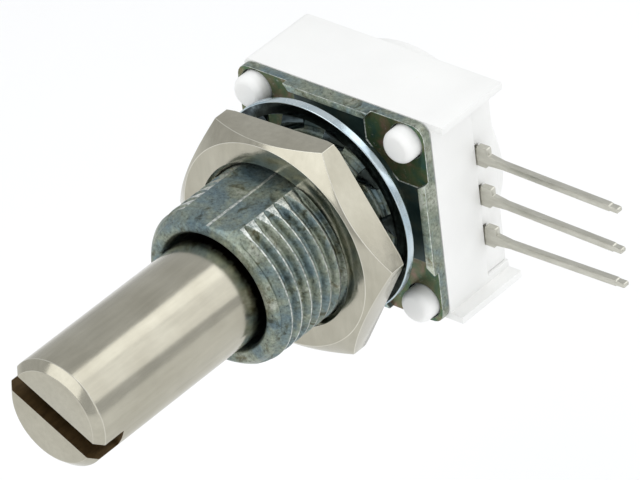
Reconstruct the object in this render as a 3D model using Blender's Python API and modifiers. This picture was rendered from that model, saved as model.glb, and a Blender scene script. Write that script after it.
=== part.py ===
"""Panel rotary encoder, half an inch square: a slotted shaft in a threaded zinc bushing, with a nut and
lock washer, on a white moulded housing with three side terminals.

The pieces are modelled standing up, with the shaft along +Z and the panel face at Z = 0, under one
empty that lays the shaft along world -Y. Upright Y is then world Z, and the terminals run along +X.
Lengths below are in millimetres.
"""

import math

import bmesh
import bpy

MM = 0.001
MERGE = 1e-6
CLEAR = 0.05

# Shaft: quarter inch, reaching seven eighths of an inch out of the panel face.
SHAFT_RADIUS = 3.175
SHAFT_REACH = 22.2
TIP_CHAMFER = 0.45
SLOT_WIDTH = 1.25
SLOT_DEPTH = 1.9
SLOT_ANGLE = math.radians(-27.6)
GROOVE_RADIUS = 2.65
DRIVE_SIDE = 3.2

# Bushing: three eighths of an inch, with two flats, and a square plate behind it.
THREAD_RADIUS = 4.68
BUSHING_REACH = 9.5
LEAD_IN = 0.75
MOUTH_RADIUS = 4.15
FLAT_DISTANCE = 4.27
BORE_RADIUS = SHAFT_RADIUS + CLEAR
SHOULDER_RADIUS = 4.85
SPIGOT_RADIUS = 4.2
SPIGOT_END = -2.2

# Square body.
WIDTH = 12.7
HEIGHT = 12.5
CORNER_RADIUS = 0.9
RIM_FACE = -0.75
SIDE_RIM = 0.52
TOP_RIM = 0.41
RECESS_FLOOR = -1.0
CORNER_FLOOR = -1.08
PLATE_BACK = -1.65
POST_OFFSET = 5.1
POST_RADIUS = 1.03
POST_TOP = -0.14
HOUSING_FRONT = PLATE_BACK - CLEAR
HOUSING_BACK = -6.77
WALL_INSIDE = -2.4
CAVITY_X = 5.45
CAVITY_Y = 5.4
STEP = -5.0
FLANGE_REACH = 7.17
FLANGE_THICKNESS = 0.42

# Nut and lock washer, resting loose on the bushing.
NUT_FLATS = 12.7
NUT_BACK = 2.5
NUT_FRONT = 4.45
NUT_CHAMFER_RADIUS = 6.15
NUT_CHAMFER_DROP = 0.9
NUT_ANGLE = math.radians(2.3)
NUT_BORE = THREAD_RADIUS + CLEAR
WASHER_BACK = 0.26
WASHER_THICKNESS = 0.5
WASHER_RADIUS = 6.4
WASHER_SHIFT = (-0.3, 0.1)
WASHER_TOOTH_TIP = 5.1
WASHER_TOOTH_ROOT = 5.65
WASHER_TEETH = 12

# Terminals.
TERMINAL_PITCH = 2.56
TERMINAL_MIDDLE = -0.36
TERMINAL_THICKNESS = 0.38
TERMINAL_TIP = 15.7
BAR_HEIGHT = 0.4
TAB_END = 7.15

# Running parts, front to back.
DETENTS = 24
THRUST_WASHER = (-2.45, -2.25)
WAVE_WASHER = (-2.73, -2.49)
RETAINING_RING = (-3.18, -2.78)
SHAFT_COLLAR_END = -3.4
DETENT_WHEEL = (-3.9, -3.45)
ROTOR = (-4.35, -3.95)
CODE_DISC = (-4.52, -4.4)
WHEEL_MEAN_RADIUS = 4.4
WHEEL_WAVE = 0.14
BALL_RADIUS = 0.55
CARRIER_FACE = -5.6
COVER_TOP = HOUSING_BACK - CLEAR
COVER_BACK = -7.8
COVER_RADIUS = 5.85

SMOOTH = 64

COLORS = {
    "zinc": ((0.36, 0.39, 0.40), 0.42, 1.0),
    "nickel": ((0.62, 0.58, 0.52), 0.28, 1.0),
    "bright_steel": ((0.66, 0.70, 0.74), 0.25, 1.0),
    "spring_steel": ((0.42, 0.43, 0.45), 0.32, 1.0),
    "bronze": ((0.66, 0.47, 0.26), 0.33, 1.0),
    "gilt": ((0.80, 0.62, 0.30), 0.28, 1.0),
    "tinned": ((0.63, 0.62, 0.57), 0.38, 1.0),
    "white_plastic": ((0.86, 0.86, 0.84), 0.5, 0.0),
    "dark_plastic": ((0.05, 0.05, 0.055), 0.5, 0.0),
    "natural_plastic": ((0.78, 0.74, 0.64), 0.45, 0.0),
}


def clear_scene():
    for old in list(bpy.data.objects):
        bpy.data.objects.remove(old, do_unlink=True)


def new_collection(name):
    collection = bpy.data.collections.new(name)
    bpy.context.scene.collection.children.link(collection)
    return collection


clear_scene()
PARTS = new_collection("rotary_encoder")
CUTTERS = new_collection("cutters")

FRAME = bpy.data.objects.new("encoder_axis", None)
FRAME.rotation_euler = (math.pi / 2, 0, 0)
PARTS.objects.link(FRAME)


def make_material(name):
    color, roughness, metallic = COLORS[name]
    material = bpy.data.materials.new(name)
    material.use_nodes = True
    shader = material.node_tree.nodes["Principled BSDF"]
    shader.inputs["Base Color"].default_value = (*color, 1.0)
    shader.inputs["Roughness"].default_value = roughness
    shader.inputs["Metallic"].default_value = metallic
    material.diffuse_color = (*color, 1.0)
    return material


MATERIALS = {name: make_material(name) for name in COLORS}


def place(obj, material, collection=None):
    """Links an object under the frame and gives it its material."""
    (collection or PARTS).objects.link(obj)
    obj.parent = FRAME
    obj.data.materials.clear()
    obj.data.materials.append(MATERIALS[material])
    return obj


def mesh_object(name, bm, material="zinc", collection=None):
    mesh = bpy.data.meshes.new(name)
    bmesh.ops.recalc_face_normals(bm, faces=bm.faces)
    bm.to_mesh(mesh)
    bm.free()
    return place(bpy.data.objects.new(name, mesh), material, collection)


def shade_round(obj):
    obj.data.shade_smooth()
    obj.data.set_sharp_from_angle(angle=math.radians(32))
    return obj


def bake(obj):
    """Turns an object's modifiers or curve into a plain welded mesh in place."""
    bpy.context.view_layer.update()
    evaluated = obj.evaluated_get(bpy.context.evaluated_depsgraph_get())
    mesh = bpy.data.meshes.new_from_object(evaluated)
    bm = bmesh.new()
    bm.from_mesh(mesh)
    bmesh.ops.remove_doubles(bm, verts=bm.verts, dist=MERGE)
    bmesh.ops.recalc_face_normals(bm, faces=bm.faces)
    bm.to_mesh(mesh)
    bm.free()
    name = obj.name
    collection = obj.users_collection[0]
    baked = bpy.data.objects.new(name + "_mesh", mesh)
    collection.objects.link(baked)
    baked.parent = obj.parent
    baked.location = obj.location
    baked.rotation_euler = obj.rotation_euler
    bpy.data.objects.remove(obj, do_unlink=True)
    baked.name = name
    return baked


def turned(name, profile, material="zinc", collection=None, steps=SMOOTH, closed=True):
    """A turned solid about upright Z. The profile is (radius, height), outer side from top to bottom."""
    mesh = bpy.data.meshes.new(name)
    points = [(r * MM, 0.0, z * MM) for r, z in profile]
    edges = [(i, i + 1) for i in range(len(points) - 1)]
    if closed:
        edges.append((len(points) - 1, 0))
    mesh.from_pydata(points, edges, [])
    obj = place(bpy.data.objects.new(name, mesh), material, collection)
    screw = obj.modifiers.new("turn", "SCREW")
    screw.steps = steps
    screw.render_steps = steps
    screw.use_merge_vertices = True
    screw.merge_threshold = MERGE
    return shade_round(bake(obj))


def ring(name, inner, outer, bottom, top, material="zinc", collection=None, steps=SMOOTH):
    profile = [(outer, top), (outer, bottom), (inner, bottom), (inner, top)]
    return turned(name, profile, material, collection, steps)


def disc(name, radius, bottom, top, material="zinc", collection=None, steps=SMOOTH):
    profile = [(0.0, top), (radius, top), (radius, bottom), (0.0, bottom)]
    return turned(name, profile, material, collection, steps, closed=False)


def box(name, low, high, material="zinc", collection=None):
    bm = bmesh.new()
    bmesh.ops.create_cube(bm, size=1.0)
    size = [(h - l) * MM for l, h in zip(low, high)]
    middle = [(h + l) / 2 * MM for l, h in zip(low, high)]
    bmesh.ops.scale(bm, vec=size, verts=bm.verts)
    obj = mesh_object(name, bm, material, collection)
    obj.location = middle
    return obj


def extruded(name, outlines, bottom, top, material="zinc", collection=None, on_edge=False):
    """A flat piece from closed outlines, the first outside and the rest holes.

    Its outlines lie in upright XY, between heights bottom and top. With on_edge they lie in upright XZ,
    and bottom and top are its two sides along Y.
    """
    curve = bpy.data.curves.new(name, "CURVE")
    curve.dimensions = "2D"
    curve.fill_mode = "BOTH"
    curve.extrude = (top - bottom) / 2 * MM
    for outline in outlines:
        spline = curve.splines.new("POLY")
        spline.points.add(len(outline) - 1)
        for point, (x, y) in zip(spline.points, outline):
            point.co = (x * MM, y * MM, 0.0, 1.0)
        spline.use_cyclic_u = True
    obj = place(bpy.data.objects.new(name, curve), material, collection)
    middle = (top + bottom) / 2 * MM
    if on_edge:
        obj.rotation_euler = (math.pi / 2, 0, 0)
        obj.location = (0, middle, 0)
    else:
        obj.location = (0, 0, middle)
    return bake(obj)


def circle(radius, count=SMOOTH):
    step = 2 * math.pi / count
    return [(radius * math.cos(i * step), radius * math.sin(i * step)) for i in range(count)]


def wavy_circle(radius, wave, waves, points_per_wave=6):
    """A circle whose radius swells and shrinks a whole number of times."""
    count = waves * points_per_wave
    outline = []
    for i in range(count):
        angle = 2 * math.pi * i / count
        r = radius + wave * math.cos(waves * angle)
        outline.append((r * math.cos(angle), r * math.sin(angle)))
    return outline


def toothed_circle(inner, outer, teeth, tooth_share=0.5, turn=0.0):
    """A ring of square teeth between two radii: the outer radius over the teeth, the inner between them."""
    outline = []
    step = 2 * math.pi / teeth
    for i in range(teeth):
        start = turn + i * step
        for radius, share in ((outer, 0.0), (outer, tooth_share / 2), (outer, tooth_share)):
            outline.append((radius, start + share * step))
        for share in (tooth_share, (1 + tooth_share) / 2, 1.0):
            outline.append((inner, start + share * step))
    return [(r * math.cos(a), r * math.sin(a)) for r, a in outline]


def rounded_rectangle(width, height, radius, steps=5):
    outline = []
    corners = ((1, 1, 0), (-1, 1, 90), (-1, -1, 180), (1, -1, 270))
    for sx, sy, start in corners:
        cx = sx * (width / 2 - radius)
        cy = sy * (height / 2 - radius)
        for i in range(steps + 1):
            angle = math.radians(start + 90 * i / steps)
            outline.append((cx + radius * math.cos(angle), cy + radius * math.sin(angle)))
    return outline


def combine(obj, other, operation):
    modifier = obj.modifiers.new(other.name, "BOOLEAN")
    modifier.operation = operation
    modifier.object = other
    modifier.solver = "EXACT"


def cut(obj, *cutters):
    """Subtracts cutters from a piece, in one bake."""
    for cutter in cutters:
        cutter.hide_render = True
        cutter.display_type = "WIRE"
        combine(obj, cutter, "DIFFERENCE")
    return bake(obj)


def join(obj, *others):
    """Unites other solids with a piece and removes them."""
    for other in others:
        combine(obj, other, "UNION")
    joined = bake(obj)
    for other in others:
        bpy.data.objects.remove(other, do_unlink=True)
    return joined


def corner_signs():
    return [(sx, sy) for sx in (-1, 1) for sy in (-1, 1)]


def four_posts(name, radius, bottom, top, collection, chamfer=0.0):
    """Four short cylinders at the corners, as separate objects."""
    posts = []
    for number, (sx, sy) in enumerate(corner_signs()):
        side = [(radius, top - chamfer), (radius, bottom), (0.0, bottom)]
        profile = [(0.0, top)] + ([(radius - chamfer, top)] if chamfer else []) + side
        post = turned(f"{name}_{number}", profile, "white_plastic", collection, 24, closed=False)
        post.location = (sx * POST_OFFSET * MM, sy * POST_OFFSET * MM, 0)
        posts.append(post)
    return posts


# ---- shaft ----

def build_shaft():
    profile = [
        (0.0, SHAFT_REACH),
        (SHAFT_RADIUS - TIP_CHAMFER, SHAFT_REACH),
        (SHAFT_RADIUS, SHAFT_REACH - TIP_CHAMFER),
        (SHAFT_RADIUS, RETAINING_RING[1] + 0.02),
        (GROOVE_RADIUS, RETAINING_RING[1] + 0.02),
        (GROOVE_RADIUS, RETAINING_RING[0] - 0.02),
        (SHAFT_RADIUS, RETAINING_RING[0] - 0.02),
        (SHAFT_RADIUS, SHAFT_COLLAR_END),
        (0.0, SHAFT_COLLAR_END),
    ]
    shaft = turned("shaft", profile, "nickel", closed=False)
    half = DRIVE_SIDE / 2
    drive = box("shaft_drive", (-half, -half, CODE_DISC[0] - 0.3), (half, half, SHAFT_COLLAR_END + 0.2))
    shaft = join(shaft, drive)
    slot = box(
        "slot_cutter",
        (-SHAFT_RADIUS - 1, -SLOT_WIDTH / 2, SHAFT_REACH - SLOT_DEPTH),
        (SHAFT_RADIUS + 1, SLOT_WIDTH / 2, SHAFT_REACH + 1),
        collection=CUTTERS,
    )
    slot.rotation_euler = (0, 0, SLOT_ANGLE)
    return shade_round(cut(shaft, slot))


def drive_hole():
    """The square hole by which the running parts sit on the shaft's tail."""
    half = DRIVE_SIDE / 2 + CLEAR
    return [(half, half), (-half, half), (-half, -half), (half, -half)]


# ---- bushing with its square plate ----

def plate_outline(inset=0.0):
    return rounded_rectangle(WIDTH - 2 * inset, HEIGHT - 2 * inset, CORNER_RADIUS)


def corner_outline(sx, sy):
    """One lowered corner, open to the outside, with its inner corners cut off."""
    near = 2.4
    chamfered = 4.35
    short = 5.65
    out = WIDTH / 2 + 1
    corner = [
        (out, near + 0.5),
        (out, out),
        (near + 0.5, out),
        (near + 0.5, HEIGHT / 2),
        (near, short),
        (near, chamfered),
        (chamfered, near),
        (short, near),
        (WIDTH / 2, near + 0.5),
    ]
    if sx * sy < 0:
        corner.reverse()
    return [(sx * x, sy * y) for x, y in corner]


def build_bushing():
    plate = extruded("bushing", [plate_outline()], PLATE_BACK, RIM_FACE)
    half_x = WIDTH / 2 - SIDE_RIM
    half_y = HEIGHT / 2 - TOP_RIM
    low = (-half_x, -half_y, RECESS_FLOOR)
    cutters = [box("recess_cutter", low, (half_x, half_y, 1.0), collection=CUTTERS)]
    for number, (sx, sy) in enumerate(corner_signs()):
        outline = corner_outline(sx, sy)
        cutters.append(extruded(f"corner_cutter_{number}", [outline], CORNER_FLOOR, 1.1, collection=CUTTERS))
    cutters += four_posts("post_hole", POST_RADIUS + CLEAR, PLATE_BACK - 1, 1.2, CUTTERS)
    plate = cut(plate, *cutters)
    barrel = turned("barrel", [
        (MOUTH_RADIUS, BUSHING_REACH),
        (THREAD_RADIUS, BUSHING_REACH - LEAD_IN),
        (THREAD_RADIUS, 0.0),
        (SHOULDER_RADIUS, 0.0),
        (SHOULDER_RADIUS, -1.3),
        (SPIGOT_RADIUS, -1.3),
        (SPIGOT_RADIUS, SPIGOT_END),
        (1.0, SPIGOT_END),
        (1.0, BUSHING_REACH),
    ])
    plate = join(plate, barrel)
    bore = turned("bore_cutter", [
        (0.0, BUSHING_REACH + 1),
        (3.6, BUSHING_REACH + 1),
        (3.6, BUSHING_REACH - 0.1),
        (3.47, BUSHING_REACH - 0.25),
        (3.47, BUSHING_REACH - 2.0),
        (BORE_RADIUS, BUSHING_REACH - 2.3),
        (BORE_RADIUS, SPIGOT_END - 1),
        (0.0, SPIGOT_END - 1),
    ], collection=CUTTERS, closed=False)
    flats = []
    for side in (-1, 1):
        low = (-SHOULDER_RADIUS, min(side * FLAT_DISTANCE, side * 6), 0.35)
        high = (SHOULDER_RADIUS, max(side * FLAT_DISTANCE, side * 6), BUSHING_REACH + 1)
        flats.append(box(f"flat_cutter_{side}", low, high, collection=CUTTERS))
    return shade_round(cut(plate, bore, *flats))


# ---- nut and lock washer ----

def build_nut():
    corner_radius = NUT_FLATS / math.sqrt(3)
    turns = [NUT_ANGLE + i * math.pi / 3 for i in range(6)]
    hexagon = [(corner_radius * math.cos(a), corner_radius * math.sin(a)) for a in turns]
    nut = extruded("hex_nut", [hexagon, circle(NUT_BORE)], NUT_BACK, NUT_FRONT, "nickel")
    slope = (corner_radius - NUT_CHAMFER_RADIUS) / NUT_CHAMFER_DROP
    outside = corner_radius + 1
    chamfer = turned("nut_chamfer_cutter", [
        (outside, NUT_FRONT + 1),
        (outside, NUT_FRONT - (outside - NUT_CHAMFER_RADIUS) / slope),
        (NUT_CHAMFER_RADIUS, NUT_FRONT),
        (NUT_CHAMFER_RADIUS, NUT_FRONT + 1),
    ], collection=CUTTERS)
    countersink = turned("nut_bore_cutter", [
        (0.0, NUT_FRONT + 0.5),
        (4.95, NUT_FRONT + 0.5),
        (4.95, NUT_FRONT - 0.06),
        (NUT_BORE - 0.1, NUT_FRONT - 0.4),
        (0.0, NUT_FRONT - 0.4),
    ], collection=CUTTERS, closed=False)
    return shade_round(cut(nut, chamfer, countersink))


def build_lock_washer():
    teeth = toothed_circle(WASHER_TOOTH_TIP, WASHER_TOOTH_ROOT, WASHER_TEETH)
    top = WASHER_BACK + WASHER_THICKNESS
    washer = extruded("lock_washer", [circle(WASHER_RADIUS), teeth], WASHER_BACK, top, "bright_steel")
    washer.location.x = WASHER_SHIFT[0] * MM
    washer.location.y = WASHER_SHIFT[1] * MM
    return washer


# ---- housing, terminal carrier and rear cover ----

def build_housing():
    outline = rounded_rectangle(WIDTH, HEIGHT, 0.45, 3)
    housing = extruded("housing", [outline], HOUSING_BACK, HOUSING_FRONT, "white_plastic")
    flanges = []
    for side in (-1, 1):
        outer = side * HEIGHT / 2
        inner = side * (HEIGHT / 2 - FLANGE_THICKNESS)
        low = (WIDTH / 2 - 1.2, min(outer, inner), HOUSING_BACK)
        high = (FLANGE_REACH, max(outer, inner), HOUSING_FRONT)
        flanges.append(box(f"flange_{side}", low, high, "white_plastic"))
    posts = four_posts("post", POST_RADIUS, HOUSING_FRONT - 0.2, POST_TOP, PARTS, chamfer=0.22)
    housing = join(housing, *flanges, *posts)
    cavity = box(
        "cavity_cutter",
        (-CAVITY_X, -CAVITY_Y, HOUSING_BACK - 1),
        (CAVITY_X, CAVITY_Y, WALL_INSIDE),
        collection=CUTTERS,
    )
    side_gap = box(
        "side_cutter",
        (CAVITY_X - 0.4, -CAVITY_Y, HOUSING_BACK - 1.1),
        (WIDTH, CAVITY_Y, STEP),
        collection=CUTTERS,
    )
    spigot_hole = disc("spigot_cutter", SPIGOT_RADIUS + CLEAR, WALL_INSIDE - 0.5, 1.0, collection=CUTTERS)
    return cut(housing, cavity, side_gap, spigot_hole)


def terminal_heights():
    return {
        "a": TERMINAL_MIDDLE + TERMINAL_PITCH,
        "common": TERMINAL_MIDDLE,
        "b": TERMINAL_MIDDLE - TERMINAL_PITCH,
    }


TERMINAL_FRONT = STEP - CLEAR
TERMINAL_BACK = TERMINAL_FRONT - TERMINAL_THICKNESS
SEAT_HALF_HEIGHT = 0.62


def build_terminal(name, height):
    """A flat stamped blade: inner end, shouldered tab and slim tail with a stepped tip."""
    half = BAR_HEIGHT / 2
    outline = [
        (3.3, height - 0.4),
        (4.9, height - 0.4),
        (4.9, height - 0.5),
        (TAB_END - 0.25, height - 0.5),
        (TAB_END, height - half - 0.12),
        (TAB_END + 1.0, height - half),
        (TERMINAL_TIP - 0.6, height - half),
        (TERMINAL_TIP - 0.55, height - half + 0.05),
        (TERMINAL_TIP - 0.06, height - half + 0.05),
        (TERMINAL_TIP, height - half + 0.12),
        (TERMINAL_TIP, height + half - 0.12),
        (TERMINAL_TIP - 0.06, height + half - 0.05),
        (TERMINAL_TIP - 0.55, height + half - 0.05),
        (TERMINAL_TIP - 0.6, height + half),
        (TAB_END + 1.0, height + half),
        (TAB_END, height + half + 0.12),
        (TAB_END, height + 0.7),
        (TAB_END - 0.75, height + 0.75),
        (TAB_END - 0.75, height + 0.5),
        (4.9, height + 0.5),
        (4.9, height + 0.4),
        (3.3, height + 0.4),
    ]
    return extruded(f"terminal_{name}", [outline], TERMINAL_BACK, TERMINAL_FRONT, "tinned")


def build_wiper(name, height):
    """A sprung finger from the terminal's inner end to the code disc, seen from the side."""
    root = TERMINAL_FRONT + 0.02
    nose = CODE_DISC[0] - 0.02
    thickness = 0.09
    upper = [
        (4.8, root + thickness),
        (3.9, root + thickness),
        (2.95, nose - 0.12),
        (2.7, nose - 0.03),
        (2.5, nose),
        (2.3, nose - 0.03),
        (2.05, nose - 0.12),
    ]
    lower = [(x, z - thickness) for x, z in reversed(upper)]
    outline = upper + lower
    return extruded(f"wiper_{name}", [outline], height - 0.33, height + 0.33, "bronze", on_edge=True)


def build_carrier():
    """The inner moulding that clamps the terminals and fills the housing's side opening."""
    edge = CAVITY_Y - CLEAR
    back = HOUSING_BACK + 0.02
    plate = box(
        "terminal_carrier",
        (-CAVITY_X + CLEAR, -edge, back),
        (CAVITY_X - 0.1, edge, CARRIER_FACE),
        "white_plastic",
    )
    high = (WIDTH / 2 - 0.15, edge, TERMINAL_FRONT)
    block = box("carrier_block", (4.95, -edge, back), high, "white_plastic")
    carrier = join(plate, block)
    seats = []
    for name, height in terminal_heights().items():
        low = (4.5, height - SEAT_HALF_HEIGHT, TERMINAL_BACK - CLEAR)
        high = (WIDTH, height + SEAT_HALF_HEIGHT, 0)
        seats.append(box(f"seat_cutter_{name}", low, high, collection=CUTTERS))
    return cut(carrier, *seats)


def build_rear_cover():
    return turned("rear_cover", [
        (0.0, COVER_TOP),
        (COVER_RADIUS, COVER_TOP),
        (COVER_RADIUS, COVER_BACK + 0.2),
        (COVER_RADIUS - 0.2, COVER_BACK),
        (1.2, COVER_BACK),
        (1.0, COVER_BACK + 0.2),
        (0.0, COVER_BACK + 0.2),
    ], "white_plastic", closed=False)


# ---- running parts ----

def build_running_parts():
    ring("thrust_washer", BORE_RADIUS + 0.05, 4.15, *THRUST_WASHER, "natural_plastic")
    build_wave_washer()
    build_retaining_ring()
    wheel = wavy_circle(WHEEL_MEAN_RADIUS, WHEEL_WAVE, DETENTS)
    extruded("detent_wheel", [wheel, drive_hole()], *DETENT_WHEEL, "spring_steel")
    extruded("rotor", [circle(4.25, 48), drive_hole()], *ROTOR, "dark_plastic")
    contacts = toothed_circle(3.15, 4.5, DETENTS, 0.5)
    extruded("code_disc", [contacts, circle(2.28, 48)], *CODE_DISC, "gilt")


def build_wave_washer():
    """A thin ring whose height runs in three gentle waves."""
    bottom, top = WAVE_WASHER
    thickness = 0.1
    swing = (top - bottom - thickness) / 2
    middle = (top + bottom) / 2
    count = 48
    bm = bmesh.new()
    loops = []
    for i in range(count):
        angle = 2 * math.pi * i / count
        lift = middle + swing * math.cos(3 * angle)
        corners = []
        for radius, side in ((4.4, 0.5), (4.4, -0.5), (3.4, -0.5), (3.4, 0.5)):
            height = lift + side * thickness
            place_at = (radius * math.cos(angle) * MM, radius * math.sin(angle) * MM, height * MM)
            corners.append(bm.verts.new(place_at))
        loops.append(corners)
    for i in range(count):
        here = loops[i]
        after = loops[(i + 1) % count]
        for j in range(4):
            k = (j + 1) % 4
            bm.faces.new((here[j], here[k], after[k], after[j]))
    return mesh_object("wave_washer", bm, "spring_steel")


def build_retaining_ring():
    """An open ring that snaps into the shaft's groove."""
    bottom, top = RETAINING_RING
    opening = math.radians(28)
    inner = GROOVE_RADIUS + 0.03
    outer = 4.1
    arc = [opening + (2 * math.pi - 2 * opening) * i / 36 for i in range(37)]
    outline = [(outer * math.cos(a), outer * math.sin(a)) for a in arc]
    outline += [(inner * math.cos(a), inner * math.sin(a)) for a in reversed(arc)]
    return extruded("retaining_ring", [outline], bottom, top, "spring_steel")


def build_detent():
    """A steel ball pressed into the wheel by a bowed leaf that spans one corner of the housing."""
    middle = (DETENT_WHEEL[0] + DETENT_WHEEL[1]) / 2
    # The wheel's hollow that faces the corner lies at its smallest radius.
    toward = math.radians(225 - 180 / DETENTS)
    distance = WHEEL_MEAN_RADIUS - WHEEL_WAVE + BALL_RADIUS + 0.04
    bm = bmesh.new()
    bmesh.ops.create_uvsphere(bm, u_segments=20, v_segments=12, radius=BALL_RADIUS * MM)
    ball = mesh_object("detent_ball", bm, "bright_steel")
    ball.location = (distance * math.cos(toward) * MM, distance * math.sin(toward) * MM, middle * MM)
    shade_round(ball)

    back = distance + BALL_RADIUS + 0.04
    thickness = 0.14
    half_length = 1.75
    bow = 0.35
    inner_side = []
    outer_side = []
    for i in range(-8, 9):
        across = half_length * i / 8
        depth = back - bow * (i / 8) ** 2
        inner_side.append((depth, across))
        outer_side.append((depth + thickness, across))
    outline = []
    for depth, across in inner_side + outer_side[::-1]:
        x = depth * math.cos(toward) - across * math.sin(toward)
        y = depth * math.sin(toward) + across * math.cos(toward)
        outline.append((x, y))
    extruded("detent_spring", [outline], middle - 0.5, middle + 0.5, "bronze")


# ---- assembly ----

build_shaft()
build_bushing()
build_nut()
build_lock_washer()
build_housing()
for letter, height_mm in terminal_heights().items():
    build_terminal(letter, height_mm)
    build_wiper(letter, height_mm)
build_carrier()
build_rear_cover()
build_running_parts()
build_detent()

for joint_name in ("shaft_turn_axis", "nut_turn_axis"):
    marker = bpy.data.objects.new(joint_name, None)
    marker.parent = FRAME
    PARTS.objects.link(marker)
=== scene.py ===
"""Looks of the half-inch panel rotary encoder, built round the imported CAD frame.

Pieces are drawn standing up, in millimetres, with the shaft along +Z, the panel shoulder at Z = 0 and
world Z along +Y. placed() lays them down into the frame, in metres, with the shaft along world -Y.
"""

import math

import bmesh
import bpy
from mathutils import Matrix, Vector


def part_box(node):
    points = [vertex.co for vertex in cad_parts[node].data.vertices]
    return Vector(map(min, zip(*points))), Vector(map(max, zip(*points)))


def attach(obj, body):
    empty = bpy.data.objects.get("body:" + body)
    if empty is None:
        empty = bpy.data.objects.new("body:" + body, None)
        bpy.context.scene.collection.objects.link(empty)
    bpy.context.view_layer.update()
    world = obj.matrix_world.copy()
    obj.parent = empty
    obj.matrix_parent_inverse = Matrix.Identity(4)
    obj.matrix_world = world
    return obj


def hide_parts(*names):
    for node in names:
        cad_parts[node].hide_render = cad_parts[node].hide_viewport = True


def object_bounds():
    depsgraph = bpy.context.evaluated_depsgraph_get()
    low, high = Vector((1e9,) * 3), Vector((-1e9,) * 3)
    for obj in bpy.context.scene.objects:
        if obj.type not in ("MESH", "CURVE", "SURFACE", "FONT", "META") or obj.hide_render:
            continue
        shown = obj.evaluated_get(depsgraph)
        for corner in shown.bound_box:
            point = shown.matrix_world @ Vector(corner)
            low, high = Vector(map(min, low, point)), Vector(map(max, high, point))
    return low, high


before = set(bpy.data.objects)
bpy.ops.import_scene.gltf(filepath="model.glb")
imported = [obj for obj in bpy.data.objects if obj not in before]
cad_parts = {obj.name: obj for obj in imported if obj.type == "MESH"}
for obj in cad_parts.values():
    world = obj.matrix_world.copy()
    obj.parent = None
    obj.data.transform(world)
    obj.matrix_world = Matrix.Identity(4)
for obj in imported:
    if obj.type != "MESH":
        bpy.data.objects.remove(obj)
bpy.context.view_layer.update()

MM = 0.001
LAY_DOWN = Matrix.Rotation(math.pi / 2, 4, "X") @ Matrix.Scale(MM, 4)
FINE = 128


def node_span(node):
    """A CAD node's box in the upright millimetre frame, as (low, high)."""
    low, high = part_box(node)
    return (
        Vector((low.x, low.z, -high.y)) / MM,
        Vector((high.x, high.z, -low.y)) / MM,
    )


# ---- sizes, read from the frame where a CAD node shows them ----

SHAFT_LOW, SHAFT_HIGH = node_span("shaft")
BUSHING_LOW, BUSHING_HIGH = node_span("bushing")
NUT_LOW, NUT_HIGH = node_span("hex_nut")
WASHER_LOW, WASHER_HIGH = node_span("lock_washer")
HOUSING_LOW, HOUSING_HIGH = node_span("housing")
COVER_LOW, COVER_HIGH = node_span("rear_cover")
CARRIER_LOW, CARRIER_HIGH = node_span("terminal_carrier")

SHAFT_RADIUS = SHAFT_HIGH.y
SHAFT_TIP = SHAFT_HIGH.z
TIP_CHAMFER = 0.45
SLOT_WIDTH = 1.25
SLOT_DEPTH = 1.9
SLOT_ANGLE = math.radians(-27.6)
RING_GROOVE_RADIUS = 2.65
RING_GROOVE_TOP = -2.76
RING_GROOVE_BOTTOM = -3.2
COLLAR_BOTTOM = -3.4
DRIVE_HALF = 1.6

THREAD_PITCH = 0.794
THREAD_RADIUS = 4.68
THREAD_DEPTH = 0.4
FLAT_DISTANCE = 4.27
MOUTH = BUSHING_HIGH.z
LIP_RADIUS = 4.15
BORE_RADIUS = 3.47
SHAFT_BORE = 3.24
LEAD_IN = 0.75
SHOULDER_RADIUS = 4.85
SPIGOT_RADIUS = 4.2
SPIGOT_HOLE_RADIUS = 4.5

WIDTH = BUSHING_HIGH.x - BUSHING_LOW.x
HEIGHT = BUSHING_HIGH.y - BUSHING_LOW.y
SIDE_RIM = 0.52
TOP_RIM = 0.41
RIM_FACE = -0.75
RECESS_FLOOR = -1.0
CORNER_FLOOR = -1.08
PLATE_BACK = -1.65
POST_OFFSET = 5.1
POST_RADIUS = 1.03
STAKED_RADIUS = POST_RADIUS - 0.05
POST_TOP = HOUSING_HIGH.z

NUT_FLATS = 12.7
NUT_ANGLE = math.radians(2.3)
NUT_FACE_RADIUS = 6.15
NUT_BORE = 4.74
NUT_COUNTERSINK = 4.97
NUT_CHAMFER_DROP = 0.9

WASHER_INNER_RADIUS = 5.62
TOOTH_COUNT = 12
TOOTH_TWIST = math.radians(36)
TOOTH_STATIONS = 7
TOOTH_HALF_THICKNESS = 0.19

HOUSING_FRONT = -1.7
HOUSING_BACK = HOUSING_LOW.z
STEP = -5.0
FLANGE_REACH = HOUSING_HIGH.x
FLANGE_THICKNESS = 0.42
CAVITY_X = 5.45
CAVITY_Y = 5.4
CAVITY_FRONT = -2.4


# ---- material graphs ----

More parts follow.
